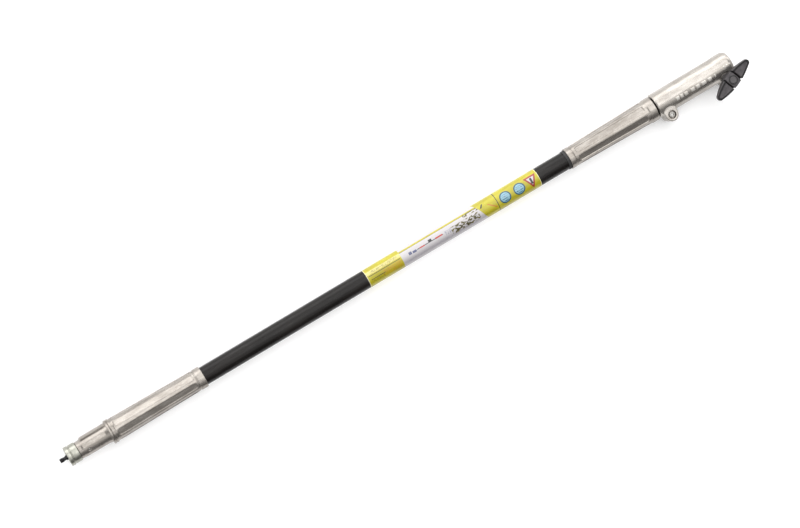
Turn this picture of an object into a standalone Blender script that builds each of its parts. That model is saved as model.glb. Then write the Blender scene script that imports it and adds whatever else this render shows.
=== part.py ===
"""Extension pole for a shaft-driven garden tool, about one metre long.

The pole lies along X. Its plug-in spigot points to -X, its clamp housing to +X, and the clamp's
wing knob stands up along +Z. The origin is the centre of the drive tip's end face, on the pole's
axis. Lengths and radii are in millimetres; mesh_object() turns them into metres.
"""

import math

import bmesh
import bpy
from mathutils import Matrix, Vector

MM = 0.001
GAP = 0.3
FIT = 0.15
SIDES = 24
SMALL_SIDES = 16
SHARP_ANGLE = math.radians(30)
X_AXIS = Vector((1, 0, 0))
Z_AXIS = Vector((0, 0, 1))

# Stations along the pole, measured from the drive tip's end face.
SPIGOT_END_X = 11.0
END_RING_TO_X = 27.0
GROOVE_TO_X = 32.5
RAMP_TO_X = 37.0
PIN_X = 41.0
FLARE_X = 69.0
SHOULDER_X = 74.0
FLANGE_TO_X = 80.7
FRONT_BODY_X = 83.0
FRONT_RING_X = 209.4
FRONT_SLEEVE_TO_X = 219.1
LABEL_FROM_X = 474.0
LABEL_TO_X = 746.4
SEAL_RING_FROM_X = 791.5
REAR_SLEEVE_FROM_X = 795.7
REAR_BODY_X = 804.8
REAR_RING_X = 925.0
REAR_SLEEVE_TO_X = 934.7
HOUSING_FROM_X = 936.9
SCREW_X = 951.6
SPIGOT_STOP_X = 996.8
MOUTH_BEAD_X = (1035.0, 1043.0)
KNOB_X = 1043.7
MOUTH_X = 1060.0

# Radii about the pole's axis.
TUBE_R = 12.7
TUBE_BORE_R = 11.1
SPIGOT_R = 12.8
END_RING_R = 13.5
END_LIP_R = 13.9
GROOVE_R = 12.3
KEY_R = 15.0
FLARE_R = 14.0
FLANGE_R = 17.3
FRONT_BODY_R = (16.2, 14.6)
FRONT_RING_R = 15.1
REAR_BODY_R = (14.5, 16.6)
REAR_FRONT_RING_R = 14.9
REAR_RING_R = 17.4
HOUSING_R = 17.6
HOUSING_SHIFT = 1.0
MOUTH_BEAD_R = 18.3
MOUTH_ROUND = 6.0
MOUTH_REACH = 4.8
SOCKET_BORE_R = 14.1
KEYWAY_R = 15.4
SLEEVE_BORE_R = TUBE_R + FIT

# Panels sunk into both sleeves.
PANELS = 7
PANEL_HALF_ANGLE = math.radians(17.1)
PANEL_STEP = 0.5
PANEL_CORNER_R = 2.6
FRONT_LAND_ANGLE = math.radians(-8.0)
REAR_LAND_ANGLE = math.radians(-3.0)

# Key on the spigot and the pin beside it.
KEY_HALF_ANGLE = math.radians(33.0)
KEYWAY_HALF_ANGLE = math.radians(36.0)
PIN_ANGLE = math.radians(20.0)
PIN_R = 1.6

# Drive line: 8 mm shaft in bearings of 8 x 22 x 7 mm.
SHAFT_R = 4.0
BEARING_R = 11.0
BEARING_WIDTH = 7.0
BEARING_BORE_R = 4.1
BEARING_SEAT_R = BEARING_R + FIT
BALL_R = 1.7
BALL_PITCH_R = 7.5
BALLS = 7
RACEWAY_R = 2.05
RING_SHOULDER = 1.4
FRONT_BEARING_X = 31.3
REAR_BEARING_X = 967.0
LIP_R = 9.5
SPLINE_TEETH = 8
SPLINE_TIP_R = 3.0
SPLINE_ROOT_R = 2.4
SOCKET_FROM_X = 978.0
SOCKET_TO_X = 996.5
SOCKET_R = 8.0
GUIDE_BUSH_X = (262.0, 505.0, 700.0)
GUIDE_BUSH_LENGTH = 16.0
GUIDE_MOUNT_LENGTH = 24.0

# Clamp: both screws run along Z through a slit in the housing's -Y side.
SCREW_Y = -19.4
KNOB_Y = -18.2
LUG_R = 9.3
LUG_TOP_Z = 12.0
LUG_BOTTOM_Z = -12.0
EAR_R = 9.0
EAR_BOTTOM_Z = -11.2
LUG_RELIEF_R = 13.0
SEAT_RELIEF_R = 9.8
HUB_RELIEF_R = 12.6
HUB_RELIEF_Z = 14.0
SLIT = 1.6
SCREW_R = 2.5
SCREW_HEAD_R = 4.0
COUNTERBORE_R = 5.6
COUNTERBORE_DEPTH = 4.0

# Wing knob.
STUD_R = 3.0
WASHER_R = 9.4
WASHER_TOP_Z = 13.9
HUB_R = 10.3
HUB_BOTTOM_Z = 14.3
HUB_TOP_Z = 22.6
BOSS_R = 6.4
BOSS_TOP_Z = 35.4
CAP_R = 5.0
BLADE_TOP_Z = 36.0
BLADE_BOTTOM_Z = 20.0
BLADE_TIP_RISE = 9.0
BLADE_HALF_LENGTH = 34.4
BLADE_HALF_WIDTH = 9.6
BLADE_TIP_HALF_WIDTH = 4.4
SLOT_FROM = 6.8
SLOT_TO = 9.2
SLOT_FLOOR_Z = 26.0
BRIDGE_TOP_Z = 34.4
BLADE_ANGLE = math.radians(23.0)
NUT_HALF_FLATS = 5.0
NUT_BOTTOM_Z = -18.3
NUT_RELIEF_R = 7.4


def clear_scene():
    for obj in list(bpy.data.objects):
        bpy.data.objects.remove(obj, do_unlink=True)


def principled(name, colour, metallic, roughness):
    material = bpy.data.materials.new(name)
    material.use_nodes = True
    shader = material.node_tree.nodes["Principled BSDF"]
    shader.inputs["Base Color"].default_value = (*colour, 1.0)
    shader.inputs["Metallic"].default_value = metallic
    shader.inputs["Roughness"].default_value = roughness
    return material


def mesh_object(name, bm, material=None, parent=None, centre=(0, 0, 0), turn_x=0.0):
    """Closes off a bmesh drawn in millimetres and stands it in the scene in metres."""
    bmesh.ops.remove_doubles(bm, verts=bm.verts, dist=1e-5)
    bmesh.ops.dissolve_degenerate(bm, edges=bm.edges, dist=1e-5)
    bmesh.ops.recalc_face_normals(bm, faces=bm.faces)
    bmesh.ops.scale(bm, vec=(MM, MM, MM), verts=bm.verts)
    mesh = bpy.data.meshes.new(name)
    bm.to_mesh(mesh)
    bm.free()
    mesh.shade_smooth()
    mesh.set_sharp_from_angle(angle=SHARP_ANGLE)
    obj = bpy.data.objects.new(name, mesh)
    obj.location = Vector(centre) * MM
    obj.rotation_euler.x = turn_x
    bpy.context.scene.collection.objects.link(obj)
    if material:
        mesh.materials.append(material)
    else:
        obj.hide_render = True
        obj.display_type = "WIRE"
    if parent:
        obj.parent = parent
        obj.matrix_parent_inverse = Matrix.Translation(-parent.location)
    return obj


def axis_empty(name, location):
    empty = bpy.data.objects.new(name, None)
    empty.location = Vector(location) * MM
    bpy.context.scene.collection.objects.link(empty)
    return empty


def boolean(target, other, operation, solver="EXACT"):
    modifier = target.modifiers.new(other.name, "BOOLEAN")
    modifier.operation = operation
    modifier.solver = solver
    modifier.object = other


def cut(target, *cutters, **how):
    for cutter in cutters:
        boolean(target, cutter, "DIFFERENCE", **how)


def join(target, *others, **how):
    for other in others:
        boolean(target, other, "UNION", **how)


def turned_mesh(bm, outline, axis=X_AXIS, sides=SIDES):
    """Spins an outline of (place along the axis, radius) points. One that starts and ends on the
    axis is a solid piece; any other is a closed loop round a bore."""
    across = Z_AXIS if axis == X_AXIS else X_AXIS
    verts = [bm.verts.new(axis * along + across * radius) for along, radius in outline]
    edges = [bm.edges.new(pair) for pair in zip(verts, verts[1:])]
    solid = outline[0][1] == 0 and outline[-1][1] == 0
    if not solid:
        edges.append(bm.edges.new((verts[-1], verts[0])))
    bmesh.ops.spin(bm, geom=verts + edges, cent=(0, 0, 0), axis=axis, angle=math.tau, steps=sides,
                   use_merge=True)


def turned(name, outline, material=None, parent=None, centre=(0, 0, 0), axis=X_AXIS, sides=SIDES,
           turn_x=0.0):
    bm = bmesh.new()
    turned_mesh(bm, outline, axis, sides)
    return mesh_object(name, bm, material, parent, centre, turn_x)


def cylinder(name, low, high, radius, **how):
    return turned(name, [(low, 0), (low, radius), (high, radius), (high, 0)], **how)


def ring(name, low, high, bore, radius, chamfer=0.0, **how):
    outline = [(low, bore), (low, radius - chamfer), (low + chamfer, radius),
               (high - chamfer, radius), (high, radius - chamfer), (high, bore)]
    if not chamfer:
        outline = [(low, bore), (low, radius), (high, radius), (high, bore)]
    return turned(name, outline, **how)


def arc(centre, radius, start, end, steps):
    """Points on an arc, with the angles in radians."""
    angles = [start + (end - start) * i / steps for i in range(steps + 1)]
    return [(centre[0] + radius * math.cos(a), centre[1] + radius * math.sin(a)) for a in angles]


def loft(name, low_loop, high_loop, material=None, parent=None, centre=(0, 0, 0)):
    """Closed solid between two loops with the same number of points."""
    bm = bmesh.new()
    low = [bm.verts.new(point) for point in low_loop]
    high = [bm.verts.new(point) for point in high_loop]
    bm.faces.new(low)
    bm.faces.new(high)
    for i in range(len(low)):
        j = (i + 1) % len(low)
        bm.faces.new((low[i], low[j], high[j], high[i]))
    return mesh_object(name, bm, material, parent, centre)


def prism_z(name, outline, low, high, **how):
    return loft(name, [(x, y, low) for x, y in outline], [(x, y, high) for x, y in outline], **how)


def prism_x(name, outline, low, high, **how):
    return loft(name, [(low, y, z) for y, z in outline], [(high, y, z) for y, z in outline], **how)


def box(name, low, high, **how):
    outline = [(low[0], low[1]), (high[0], low[1]), (high[0], high[1]), (low[0], high[1])]
    return prism_z(name, outline, low[2], high[2], **how)


def sector(name, low, high, radius, inner, half_angle, steps=8):
    """Ring sector about the pole's axis, centred on the +Y side."""
    outer = arc((0, 0), radius, -half_angle, half_angle, steps)
    return prism_x(name, outer + arc((0, 0), inner, half_angle, -half_angle, steps), low, high)


def panel_cutters(name, x_range, radii, land_angle):
    """Round-cornered pockets with flat floors, sunk between the lands of a tapered sleeve."""
    low, high = x_range
    corner = PANEL_CORNER_R
    open_height = 4.0

    def radius_at(x):
        return radii[0] + (radii[1] - radii[0]) * (x - low) / (high - low)

    outline = []
    for x_end, edge, start in ((high, 1, 0), (low, 1, 90), (low, -1, 180), (high, -1, 270)):
        inward = -corner if x_end == high else corner
        half = radius_at(x_end) * math.sin(PANEL_HALF_ANGLE)
        centre = (x_end + inward, edge * (half - corner))
        outline += arc(centre, corner, math.radians(start), math.radians(start + 90), 2)

    bm = bmesh.new()
    for k in range(PANELS):
        turn = Matrix.Rotation(land_angle + math.tau * (k + 0.5) / PANELS, 3, "X")
        loops = []
        for lift in (-PANEL_STEP, open_height):
            points = [(x, across, radius_at(x) * math.cos(PANEL_HALF_ANGLE) + lift)
                      for x, across in outline]
            loops.append([bm.verts.new(turn @ Vector(point)) for point in points])
        bm.faces.new(loops[0])
        bm.faces.new(loops[1])
        for i in range(len(outline)):
            j = (i + 1) % len(outline)
            bm.faces.new((loops[0][i], loops[0][j], loops[1][j], loops[1][i]))
    return mesh_object(name, bm)


def make_tube_group():
    """The outer tube, its printed label, its seal ring and the bushes that carry the shaft."""
    ring("shaft_tube", FRONT_BODY_X + 5, HOUSING_FROM_X + 25, TUBE_BORE_R, TUBE_R, material=COATED_STEEL)
    ring("label_film", LABEL_FROM_X, LABEL_TO_X, TUBE_R + 0.05, TUBE_R + 0.2, material=PRINTED_FILM)
    ring("tube_seal_ring", SEAL_RING_FROM_X, REAR_SLEEVE_FROM_X - GAP, SLEEVE_BORE_R, TUBE_R + 0.8,
         chamfer=0.3, material=RUBBER)
    for number, middle in enumerate(GUIDE_BUSH_X, 1):
        half = GUIDE_BUSH_LENGTH / 2
        ring(f"guide_bush_{number}", middle - half, middle + half, SHAFT_R + FIT, 6.2,
             chamfer=0.5, material=BRONZE, sides=SMALL_SIDES)
        half = GUIDE_MOUNT_LENGTH / 2
        ring(f"guide_bush_mount_{number}", middle - half, middle + half, 6.4, TUBE_BORE_R - FIT,
             chamfer=1.5, material=RUBBER, sides=SMALL_SIDES)


def make_front_sleeve():
    """The casting at the -X end: spigot, shoulder flange and panelled sleeve, with its end ring."""
    seat_from = END_RING_TO_X + GAP
    seat_to = FRONT_BEARING_X + BEARING_WIDTH + GAP
    outline = [
        (seat_from, BEARING_SEAT_R), (seat_from, GROOVE_R), (GROOVE_TO_X, GROOVE_R),
        (RAMP_TO_X, SPIGOT_R), (FLARE_X, SPIGOT_R), (SHOULDER_X, FLARE_R),
        (SHOULDER_X, FLANGE_R - 0.5), (SHOULDER_X + 0.5, FLANGE_R), (SHOULDER_X + 2.4, FLANGE_R),
        (SHOULDER_X + 3.2, FLANGE_R - 0.9), (SHOULDER_X + 4.0, FLANGE_R),
        (FLANGE_TO_X - 0.5, FLANGE_R), (FLANGE_TO_X, FLANGE_R - 0.5), (FLANGE_TO_X, FRONT_BODY_R[0]),
        (FRONT_BODY_X, FRONT_BODY_R[0]), (FRONT_RING_X - 1.2, FRONT_BODY_R[1]),
        (FRONT_RING_X - 0.8, FRONT_BODY_R[1] - 0.4), (FRONT_RING_X, FRONT_BODY_R[1] - 0.4),
        (FRONT_RING_X, FRONT_RING_R - 0.4), (FRONT_RING_X + 0.4, FRONT_RING_R),
        (FRONT_SLEEVE_TO_X - 0.8, FRONT_RING_R), (FRONT_SLEEVE_TO_X, FRONT_RING_R - 0.8),
        (FRONT_SLEEVE_TO_X, SLEEVE_BORE_R), (FRONT_BODY_X + 4.7, SLEEVE_BORE_R),
        (FRONT_BODY_X + 4.7, BEARING_SEAT_R), (PIN_X + 3, BEARING_SEAT_R), (PIN_X + 2, LIP_R),
        (seat_to, LIP_R), (seat_to, BEARING_SEAT_R),
    ]
    sleeve = turned("front_sleeve", outline, material=CAST_ALUMINIUM)
    join(sleeve, sector("spigot_key", RAMP_TO_X, SHOULDER_X + 1, KEY_R, SPIGOT_R - 1, KEY_HALF_ANGLE))
    pin_hole = cylinder("pin_hole", 11.3, 15.0, PIN_R + GAP, axis=Z_AXIS, sides=16,
                        centre=(PIN_X, 0, 0), turn_x=PIN_ANGLE)
    panels = panel_cutters("front_panels", (FRONT_BODY_X + 2, FRONT_RING_X - 4), FRONT_BODY_R,
                           FRONT_LAND_ANGLE)
    cut(sleeve, pin_hole, panels)
    cylinder("locating_pin", 11.6, SPIGOT_R + 0.1, PIN_R, axis=Z_AXIS, sides=16,
             centre=(PIN_X, 0, 0), turn_x=PIN_ANGLE, material=BRIGHT_STEEL)

    outline = [
        (SPIGOT_END_X, 9.3), (SPIGOT_END_X, END_LIP_R - 1.4), (SPIGOT_END_X + 1.4, END_LIP_R),
        (16.0, END_LIP_R), (16.6, END_RING_R - 0.5), (17.4, END_RING_R - 0.5), (17.8, END_RING_R),
        (END_RING_TO_X - 0.6, END_RING_R), (END_RING_TO_X, END_RING_R - 0.6), (END_RING_TO_X, 10.9),
        (FRONT_BEARING_X - GAP, 10.9), (FRONT_BEARING_X - GAP, 8.6), (18.5, 8.6), (18.5, 9.3),
    ]
    turned("spigot_end_ring", outline, material=MACHINED_ALUMINIUM)
    outline = [(12.5, 3.9), (12.5, 9.1), (18.2, 9.1), (18.2, 6.0), (15.0, 3.9)]
    turned("front_dust_seal", outline, material=RUBBER, sides=SMALL_SIDES)


def make_rear_sleeve():
    """The panelled sleeve that widens towards the clamp housing."""
    ring_to = REAR_BODY_X
    outline = [
        (REAR_SLEEVE_FROM_X, SLEEVE_BORE_R), (REAR_SLEEVE_FROM_X, REAR_FRONT_RING_R - 0.8),
        (REAR_SLEEVE_FROM_X + 0.8, REAR_FRONT_RING_R), (ring_to - 0.4, REAR_FRONT_RING_R),
        (ring_to, REAR_FRONT_RING_R - 0.4), (ring_to, REAR_BODY_R[0] - 0.4),
        (ring_to + 0.8, REAR_BODY_R[0] - 0.4), (ring_to + 1.2, REAR_BODY_R[0]),
        (REAR_RING_X - 1.6, REAR_BODY_R[1]), (REAR_RING_X, REAR_RING_R - 0.6),
        (REAR_RING_X + 0.6, REAR_RING_R), (REAR_SLEEVE_TO_X - 0.6, REAR_RING_R),
        (REAR_SLEEVE_TO_X, REAR_RING_R - 0.6), (REAR_SLEEVE_TO_X, SLEEVE_BORE_R),
    ]
    sleeve = turned("rear_sleeve", outline, material=CAST_ALUMINIUM)
    cut(sleeve, panel_cutters("rear_panels", (REAR_BODY_X + 4, REAR_RING_X - 6), REAR_BODY_R,
                              REAR_LAND_ANGLE))


def make_clamp_housing():
    """Die-cast housing: it grips the tube at one end and takes the next tool's spigot at the other."""
    outline = [
        (HOUSING_FROM_X, 0), (HOUSING_FROM_X, HOUSING_R - 1.4), (HOUSING_FROM_X + 1.4, HOUSING_R),
        (MOUTH_BEAD_X[0], HOUSING_R), (MOUTH_BEAD_X[1], MOUTH_BEAD_R),
    ]
    outline += arc((MOUTH_X - MOUTH_REACH, MOUTH_BEAD_R - MOUTH_ROUND), MOUTH_ROUND, math.pi / 2,
                   math.acos(MOUTH_REACH / MOUTH_ROUND), 5)
    housing = turned("clamp_housing", outline + [(MOUTH_X, 0)], material=CAST_ALUMINIUM,
                     centre=(0, HOUSING_SHIFT, 0))
    cutters = []
    tabs = (("lug", SCREW_X, SCREW_Y, LUG_R, LUG_BOTTOM_Z), ("ear", KNOB_X, KNOB_Y, EAR_R, EAR_BOTTOM_Z))
    root_y = -9.0
    flare = 1.5
    for name, x, y, radius, bottom in tabs:
        tab = arc((x, y), radius, math.radians(180), math.radians(360), 12)
        tab += [(x + radius + flare, root_y), (x - radius - flare, root_y)]
        join(housing, prism_z(name, tab, bottom, LUG_TOP_Z + 1), solver="MANIFOLD")
    reliefs = (("lug_relief", SCREW_X, SCREW_Y, LUG_TOP_Z, LUG_RELIEF_R),
               ("seat_relief", KNOB_X, KNOB_Y, LUG_TOP_Z, SEAT_RELIEF_R),
               ("hub_relief", KNOB_X, KNOB_Y, HUB_RELIEF_Z, HUB_RELIEF_R))
    for name, x, y, floor_z, radius in reliefs:
        cutters.append(cylinder(name, floor_z, HOUSING_R + 2, radius, axis=Z_AXIS, centre=(x, y, 0)))
    bore_outline = [
        (HOUSING_FROM_X - 2, 0), (HOUSING_FROM_X - 2, SLEEVE_BORE_R),
        (REAR_BEARING_X - 3.7, SLEEVE_BORE_R), (REAR_BEARING_X - 3.7, LIP_R),
        (REAR_BEARING_X - GAP, LIP_R), (REAR_BEARING_X - GAP, BEARING_SEAT_R),
        (REAR_BEARING_X + BEARING_WIDTH + GAP, BEARING_SEAT_R),
        (REAR_BEARING_X + BEARING_WIDTH + GAP, BEARING_SEAT_R + 0.7),
        (REAR_BEARING_X + BEARING_WIDTH + 1.9, BEARING_SEAT_R + 0.7),
        (REAR_BEARING_X + BEARING_WIDTH + 1.9, BEARING_SEAT_R),
        (SPIGOT_STOP_X, BEARING_SEAT_R), (SPIGOT_STOP_X, SOCKET_BORE_R),
        (MOUTH_X + 2, SOCKET_BORE_R), (MOUTH_X + 2, 0),
    ]
    cutters.append(turned("housing_bore", bore_outline))
    cutters.append(sector("housing_keyway", SPIGOT_STOP_X + 1, MOUTH_X + 2, KEYWAY_R,
                          SOCKET_BORE_R - 3, KEYWAY_HALF_ANGLE))
    half = SLIT / 2
    outer_y = SCREW_Y - LUG_R - 2
    cutters.append(box("screw_slit", (HOUSING_FROM_X - 2, outer_y, -half), (SCREW_X + 15, root_y, half)))
    cutters.append(box("knob_slit", (KNOB_X - 24, outer_y, -half), (MOUTH_X + 2, root_y, half)))
    deep = LUG_TOP_Z - COUNTERBORE_DEPTH
    holes = (("nut_relief", KNOB_X, KNOB_Y, NUT_BOTTOM_Z - 2, EAR_BOTTOM_Z, NUT_RELIEF_R),
             ("screw_counterbore", SCREW_X, SCREW_Y, deep, LUG_TOP_Z + 2, COUNTERBORE_R),
             ("screw_hole", SCREW_X, SCREW_Y, LUG_BOTTOM_Z - 2, deep + 1, SCREW_R + GAP),
             ("stud_hole", KNOB_X, KNOB_Y, EAR_BOTTOM_Z - 2, LUG_TOP_Z + 2, STUD_R + 0.4))
    for name, x, y, low, high, radius in holes:
        cutters.append(cylinder(name, low, high, radius, axis=Z_AXIS, sides=SMALL_SIDES, centre=(x, y, 0)))
    cut(housing, *cutters, solver="MANIFOLD")


def bearing(name, low):
    """Deep-groove ball bearing in three pieces. Returns its inner ring and its cage with balls."""
    middle = low + BEARING_WIDTH / 2
    high = low + BEARING_WIDTH
    half_angle = math.acos(RING_SHOULDER / RACEWAY_R)
    centre = (middle, BALL_PITCH_R)
    groove = arc(centre, RACEWAY_R, math.pi / 2 + half_angle, math.pi / 2 - half_angle, 4)
    shoulder = BALL_PITCH_R + RING_SHOULDER
    outline = [(low, BEARING_R), (low, shoulder), *groove, (high, shoulder), (high, BEARING_R)]
    turned(f"{name}_outer_ring", outline, material=BRIGHT_STEEL, sides=SMALL_SIDES)
    groove = arc(centre, RACEWAY_R, -math.pi / 2 - half_angle, -math.pi / 2 + half_angle, 4)
    shoulder = BALL_PITCH_R - RING_SHOULDER
    outline = [(low, BEARING_BORE_R), (low, shoulder), *groove, (high, shoulder),
               (high, BEARING_BORE_R)]
    turned(f"{name}_inner_ring", outline, material=BRIGHT_STEEL, sides=SMALL_SIDES, parent=DRIVE_AXIS)
    cage = ring(f"{name}_ball_cage", middle - 1.1, middle + 1.1, BALL_PITCH_R - 0.8,
                BALL_PITCH_R + 0.8, material=BRONZE, sides=SMALL_SIDES, parent=DRIVE_AXIS)
    bm = bmesh.new()
    for k in range(BALLS):
        turn = Matrix.Rotation(math.tau * k / BALLS, 4, "X")
        place = turn @ Matrix.Translation((middle, 0, BALL_PITCH_R))
        bmesh.ops.create_uvsphere(bm, u_segments=8, v_segments=5, radius=BALL_R, matrix=place)
    join(cage, mesh_object(f"{name}_balls", bm))


def circlip(name, low, radius):
    """Spring ring that snaps into a groove of the shaft."""
    bore = SHAFT_R - 0.15
    clip = ring(name, low, low + 1.0, bore, radius, material=SPRING_STEEL, sides=SMALL_SIDES,
                parent=DRIVE_AXIS)
    cut(clip, box(f"{name}_mouth", (low - 1, -1.6, -radius - 1), (low + 2, 1.6, -bore + 1.5)))


def star(tip, root, teeth):
    """Outline of a spline with straight-sided teeth."""
    step = math.tau / teeth
    points = []
    for k in range(teeth):
        for turn, radius in ((-0.28, tip), (0.02, tip), (0.22, root), (0.52, root)):
            angle = (k + turn) * step
            points.append((radius * math.cos(angle), radius * math.sin(angle)))
    return points


def make_drive_line():
    """Shaft, splined tip, socket and the rings that hold the shaft in its bearings."""
    tip_to = 22.0
    spline_to = 4.5
    neck_to = 8.5
    outline = [(spline_to - 1, 0), (spline_to - 1, 2.0), (neck_to, 2.0), (neck_to + 0.8, 3.6),
               (tip_to, 3.6), (tip_to, 0)]
    tip = turned("drive_tip", outline, material=DARK_STEEL, sides=SMALL_SIDES, parent=DRIVE_AXIS)
    join(tip, prism_x("tip_spline", star(SPLINE_TIP_R, SPLINE_ROOT_R, SPLINE_TEETH), 0, spline_to))

    front_clip_x = FRONT_BEARING_X + BEARING_WIDTH + 0.4
    rear_clip_x = REAR_BEARING_X - 1.5
    shaft_to = SOCKET_FROM_X + 5
    groove = SHAFT_R - 0.35
    outline = [(tip_to + GAP, 0), (tip_to + GAP, SHAFT_R)]
    for clip_x in (front_clip_x, rear_clip_x):
        outline += [(clip_x - 0.1, SHAFT_R), (clip_x - 0.1, groove), (clip_x + 1.1, groove),
                    (clip_x + 1.1, SHAFT_R)]
    outline += [(shaft_to - GAP, SHAFT_R), (shaft_to - GAP, 0)]
    turned("drive_shaft", outline, material=DARK_STEEL, sides=SMALL_SIDES, parent=DRIVE_AXIS)
    circlip("front_shaft_circlip", front_clip_x, 6.4)
    circlip("rear_shaft_circlip", rear_clip_x, 6.4)

    web_to = shaft_to + 2
    outline = [
        (shaft_to, 0), (shaft_to, SHAFT_R + FIT), (SOCKET_FROM_X, SHAFT_R + FIT),
        (SOCKET_FROM_X, SOCKET_R - 1), (SOCKET_FROM_X + 1, SOCKET_R), (SOCKET_TO_X - 1, SOCKET_R),
        (SOCKET_TO_X, SOCKET_R - 1), (SOCKET_TO_X, 0),
    ]
    socket = turned("drive_socket", outline, material=DARK_STEEL, sides=SMALL_SIDES,
                    parent=DRIVE_AXIS)
    hole = star(SPLINE_TIP_R + FIT, SPLINE_ROOT_R + FIT, SPLINE_TEETH)
    cut(socket, prism_x("socket_spline", hole, web_to, SOCKET_TO_X + 2))

    bearing("front_bearing", FRONT_BEARING_X)
    bearing("rear_bearing", REAR_BEARING_X)
    clip_low = REAR_BEARING_X + BEARING_WIDTH + 0.6
    clip = ring("rear_bore_circlip", clip_low, clip_low + 1.0, LIP_R, BEARING_SEAT_R + 0.5,
                material=SPRING_STEEL)
    cut(clip, box("bore_circlip_mouth", (clip_low - 1, -3, -BEARING_SEAT_R - 2), (clip_low + 2, 3, -8)))


def make_clamp_screw():
    """Pan-head screw with a hexagon socket, sunk in the lug's counterbore."""
    seat = LUG_TOP_Z - COUNTERBORE_DEPTH + GAP
    top = seat + 3.2
    outline = [
        (LUG_BOTTOM_Z + 0.6, 0), (LUG_BOTTOM_Z + 0.6, SCREW_R - 0.6), (LUG_BOTTOM_Z + 1.2, SCREW_R),
        (seat, SCREW_R), (seat, SCREW_HEAD_R), (top - 0.8, SCREW_HEAD_R), (top - 0.2, SCREW_HEAD_R - 0.5),
        (top, SCREW_HEAD_R - 1.2), (top, 0),
    ]
    screw = turned("clamp_screw", outline, material=BRIGHT_STEEL, axis=Z_AXIS, sides=SMALL_SIDES,
                   centre=(SCREW_X, SCREW_Y, 0))
    cut(screw, prism_z("screw_socket", arc((0, 0), 2.2, 0, math.tau * 5 / 6, 5), top - 1.8, top + 1,
                       centre=(SCREW_X, SCREW_Y, 0)))


def blade_outline():
    """The knob's blade seen from above: a lens with blunt round tips."""
    stations = 8
    straight = BLADE_HALF_LENGTH - 3.0
    upper = []
    for i in range(stations + 1):
        u = straight * i / stations
        v = BLADE_TIP_HALF_WIDTH + (BLADE_HALF_WIDTH - BLADE_TIP_HALF_WIDTH) * (1 - (u / straight) ** 2)
        upper.append((u, v))
    tip = [(BLADE_HALF_LENGTH - 0.6, BLADE_TIP_HALF_WIDTH - 1.4), (BLADE_HALF_LENGTH, 0)]
    quarter = upper + tip
    lower = [(u, -v) for u, v in reversed(quarter[:-1])]
    half = quarter + lower
    return half + [(-u, -v) for u, v in half[1:-1]]


def make_knob():
    """Wing knob with its stud and cap, the washer under it and the nut in the lower ear."""
    place = {"centre": (KNOB_X, KNOB_Y, 0), "parent": KNOB_AXIS}
    hub = [(HUB_BOTTOM_Z, STUD_R + FIT), (HUB_BOTTOM_Z, HUB_R - 0.6), (HUB_BOTTOM_Z + 0.6, HUB_R),
           (HUB_TOP_Z - 0.8, HUB_R), (HUB_TOP_Z, HUB_R - 0.8), (HUB_TOP_Z, BOSS_R),
           (BOSS_TOP_Z - 0.6, BOSS_R), (BOSS_TOP_Z, BOSS_R - 0.6), (BOSS_TOP_Z, CAP_R + FIT),
           (BOSS_TOP_Z - 1.6, CAP_R + FIT), (BOSS_TOP_Z - 1.6, STUD_R + FIT)]
    knob = turned("wing_knob", hub, material=KNOB_PLASTIC, axis=Z_AXIS, **place)
    turn = Matrix.Rotation(BLADE_ANGLE, 3, "Z")
    outline = [(turn @ Vector((u, v, 0)))[:2] for u, v in blade_outline()]
    rise = BLADE_TIP_RISE / BLADE_HALF_LENGTH ** 2
    low = [(x, y, BLADE_BOTTOM_Z + rise * (x * x + y * y)) for x, y in outline]
    high = [(x, y, BLADE_TOP_Z) for x, y in outline]
    blade = loft("blade", low, high, centre=place["centre"])
    cuts = (("near_slot", SLOT_FROM, SLOT_TO, SLOT_FLOOR_Z),
            ("far_slot", -SLOT_TO, -SLOT_FROM, SLOT_FLOOR_Z),
            ("bridge_step", -SLOT_FROM - 1, SLOT_FROM + 1, BRIDGE_TOP_Z))
    side = BLADE_HALF_WIDTH + 2
    for name, u_from, u_to, floor_z in cuts:
        corners = ((u_from, -side), (u_to, -side), (u_to, side), (u_from, side))
        across = [(turn @ Vector((u, v, 0)))[:2] for u, v in corners]
        cut(blade, prism_z(name, across, floor_z, BLADE_TOP_Z + 2, centre=place["centre"]))
    cut(blade, cylinder("boss_hole", HUB_BOTTOM_Z, BLADE_TOP_Z + 2, (CAP_R + BOSS_R) / 2, axis=Z_AXIS,
                        centre=place["centre"]))
    join(knob, blade, solver="MANIFOLD")
    stud_bottom = NUT_BOTTOM_Z + 0.3
    cylinder("knob_stud", stud_bottom, BOSS_TOP_Z - 2.2, STUD_R, material=BRIGHT_STEEL, axis=Z_AXIS,
             sides=SMALL_SIDES, **place)
    outline = [(BOSS_TOP_Z - 1.4, 0), (BOSS_TOP_Z - 1.4, CAP_R), (BOSS_TOP_Z - 0.2, CAP_R),
               (BOSS_TOP_Z + 0.2, CAP_R - 0.8), (BOSS_TOP_Z + 0.3, 0)]
    turned("knob_cap", outline, material=KNOB_PLASTIC, axis=Z_AXIS, sides=SMALL_SIDES, **place)
    ring("thrust_washer", LUG_TOP_Z + GAP, WASHER_TOP_Z, STUD_R + FIT, WASHER_R, chamfer=0.3,
         material=BRIGHT_STEEL, axis=Z_AXIS, **place)
    corner_r = NUT_HALF_FLATS / math.cos(math.pi / 6)
    nut = prism_z("knob_nut", arc((0, 0), corner_r, 0, math.tau * 5 / 6, 5), NUT_BOTTOM_Z,
                  EAR_BOTTOM_Z - GAP, material=BRIGHT_STEEL, centre=(KNOB_X, KNOB_Y, 0))
    cut(nut, cylinder("nut_bore", NUT_BOTTOM_Z - 1, EAR_BOTTOM_Z + 1, STUD_R + FIT, axis=Z_AXIS,
                      sides=SMALL_SIDES, centre=(KNOB_X, KNOB_Y, 0)))


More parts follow.
